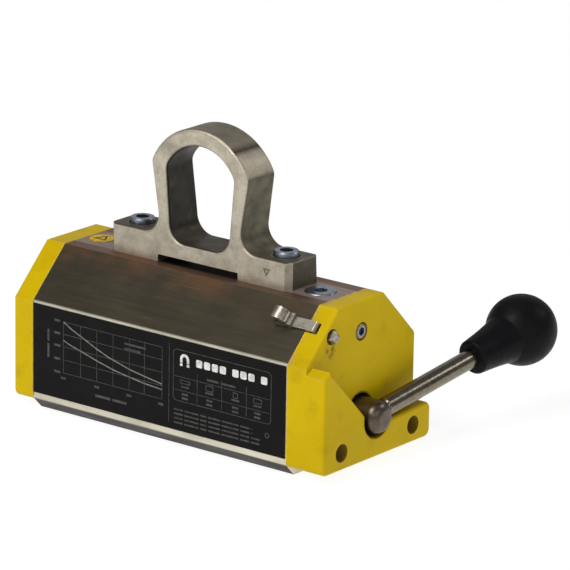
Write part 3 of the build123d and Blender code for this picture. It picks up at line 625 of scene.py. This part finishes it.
def title_blocks():
    """Plain rounded blocks in three groups, in place of a title."""
    blocks, x = [], 30.5
    size, pitch, space, z = 4.8, 6.1, 3.6, 54.8
    for count in TITLE_GROUPS:
        for _ in range(count):
            blocks.append(rounded_rectangle(x, x + size, z, z + size, 1.0))
            x += pitch
        x += space
    return blocks


def circle(cx, cz, radius, count=24):
    """Points of a small circle."""
    turn = 2 * math.pi / count
    return [(cx + radius * math.cos(i * turn), cz + radius * math.sin(i * turn))
            for i in range(count)]


def marker_symbol(look):
    """Plain dark arrowhead on the round marker of the top face."""
    low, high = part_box("marker_disc")
    cx, cy = (low.x + high.x) / 2, (low.y + high.y) / 2
    bm = bmesh.new()
    outer = [(0, 5.6), (-5.1, -3.2), (5.1, -3.2)]
    inner = [(0, 3.1), (-3.0, -2.0), (3.0, -2.0)]
    frame_band(bm, outer, inner,
               lambda u, v, h: (cx + u * MM, cy + v * MM, high.z + h * MM), 0.0, 0.06)
    new_piece("marker_symbol", bm, look["mark_dark"])


def eye_cast_mark(look):
    """Small raised triangle cast on the front of the eye's base."""
    low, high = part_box("lifting_eye")
    bm = bmesh.new()
    outer = [(50.6, 112.6), (56.0, 112.6), (53.0, 107.6)]
    inner = [(51.9, 111.8), (54.6, 111.8), (53.1, 109.3)]
    frame_band(bm, outer, inner,
               lambda u, v, h: (u * MM, low.y - h * MM, v * MM), 0.0, 0.3)
    new_piece("eye_cast_mark", bm, look["cast_mark"])


def coil_spring(look):
    """Wound spring behind the catch bolt, in place of the CAD spring."""
    low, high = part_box("catch_spring")
    cy, cz = (low.y + high.y) / 2, (low.z + high.z) / 2
    wire, turns, steps, sides = 0.45 * MM, 6, 36, 12
    start, length = low.x + wire, high.x - low.x - 2 * wire
    radius = (high.y - low.y) / 2 - wire
    bm = bmesh.new()
    rings = []
    for i in range(turns * steps + 1):
        a = 2 * math.pi * i / steps
        out = Vector((0, math.cos(a), math.sin(a)))
        middle = Vector((start + length * i / (turns * steps), cy, cz)) + radius * out
        ring = []
        for j in range(sides):
            b = 2 * math.pi * j / sides
            offset = out * math.cos(b) + Vector((math.sin(b), 0, 0))
            ring.append(bm.verts.new(middle + wire * offset))
        rings.append(ring)
    for first, second in zip(rings, rings[1:]):
        for j in range(sides):
            bm.faces.new((first[j - 1], first[j], second[j], second[j - 1]))
    bm.faces.new(rings[0])
    bm.faces.new(rings[-1])
    piece = new_piece("catch_spring_coil", bm, look["spring_steel"])
    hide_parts("catch_spring")
    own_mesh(piece)


# ------------------------------------------------------------------ stage

FLOOR_SIZE = 30.0
FLOOR_Z = -0.0002      # just under the pole faces
FLOOR_GLOW = 0.90


def floor():
    """Plain pale floor that fills the view."""
    bm = bmesh.new()
    bmesh.ops.create_grid(bm, x_segments=1, y_segments=1, size=FLOOR_SIZE)
    mesh = bpy.data.meshes.new("floor")
    bm.to_mesh(mesh)
    bm.free()
    piece = bpy.data.objects.new("floor", mesh)
    bpy.context.scene.collection.objects.link(piece)
    piece.location.z = FLOOR_Z
    k = Look("floor")
    colour = k.mix(srgb(112, 112, 112), srgb(118, 118, 118), k.noise(0.5, 2))
    k.put(k.shader.inputs["Emission Color"], (1, 1, 1, 1))
    k.shader.inputs["Emission Strength"].default_value = FLOOR_GLOW
    mesh.materials.append(k.finish(colour, 0.8, specular=0.0))


LIGHT_AIM = Vector((0.03, 0, 0.08))
SKY = (0.20, 0.20, 0.21)
LIGHTS = (   # name, place, watts, size in metres, colour
    ("key", (-0.2, -1.9, 2.3), 60.0, 1.6, (1.0, 0.98, 0.95)),
    ("fill", (2.4, -0.6, 1.2), 4.8, 1.0, (1, 1, 1)),
    ("front", (1.55, -2.0, 1.25), 4.0, 0.4, (1, 1, 1)),
    ("rim", (1.5, 1.8, 1.9), 10.0, 0.6, (1, 1, 1)),
    ("back", (-1.3, 2.6, 1.5), 5.5, 2.2, (1, 1, 1)),
)


def area_light(name, place, power, size, colour):
    """Soft square light aimed at the middle of the magnet."""
    data = bpy.data.lights.new(name, "AREA")
    data.energy = power
    data.size = size
    data.color = colour
    light = bpy.data.objects.new(name, data)
    bpy.context.scene.collection.objects.link(light)
    light.location = place
    aim = LIGHT_AIM - Vector(place)
    light.rotation_euler = aim.to_track_quat("-Z", "Y").to_euler()


def studio():
    """Soft studio light: a key from the front, weak fills and a dim surround."""
    world = bpy.data.worlds.new("studio")
    bpy.context.scene.world = world
    world.use_nodes = True
    world.node_tree.nodes["Background"].inputs["Color"].default_value = (*SKY, 1)
    for light in LIGHTS:
        area_light(*light)
    bpy.context.scene.view_settings.view_transform = "Standard"


CAMERA_YAW = 37.93
CAMERA_ELEVATION = 16.66
CAMERA_ROLL = 0.93
CAMERA_TARGET = Vector((0.0569, -0.0014, 0.100))
CAMERA_DISTANCE = 2.747
CAMERA_LENS = 287.0


def camera():
    """Long lens from the lever end of the label side."""
    yaw, lift, roll = (math.radians(v) for v in (CAMERA_YAW, CAMERA_ELEVATION, CAMERA_ROLL))
    back = Vector((math.sin(yaw) * math.cos(lift), -math.cos(yaw) * math.cos(lift),
                   math.sin(lift)))
    right = Vector((math.cos(yaw), math.sin(yaw), 0))
    up = back.cross(right)
    x_axis = right * math.cos(roll) + up * math.sin(roll)
    y_axis = up * math.cos(roll) - right * math.sin(roll)
    data = bpy.data.cameras.new("camera")
    data.lens = CAMERA_LENS
    data.sensor_width = 36.0
    data.clip_end = 100.0
    view = bpy.data.objects.new("camera", data)
    bpy.context.scene.collection.objects.link(view)
    turn = Matrix((x_axis, y_axis, back)).transposed().to_4x4()
    view.matrix_world = Matrix.Translation(CAMERA_TARGET + back * CAMERA_DISTANCE) @ turn
    bpy.context.scene.camera = view


# ------------------------------------------------------------------ put together

looks = make_materials()
for node_name, slot_name in node_slots().items():
    for material_slot in nodes[node_name].material_slots:
        material_slot.material = looks[slot_name]

print_label(-1, looks)
print_label(1, looks)
marker_symbol(looks)
eye_cast_mark(looks)
coil_spring(looks)
floor()
studio()
camera()
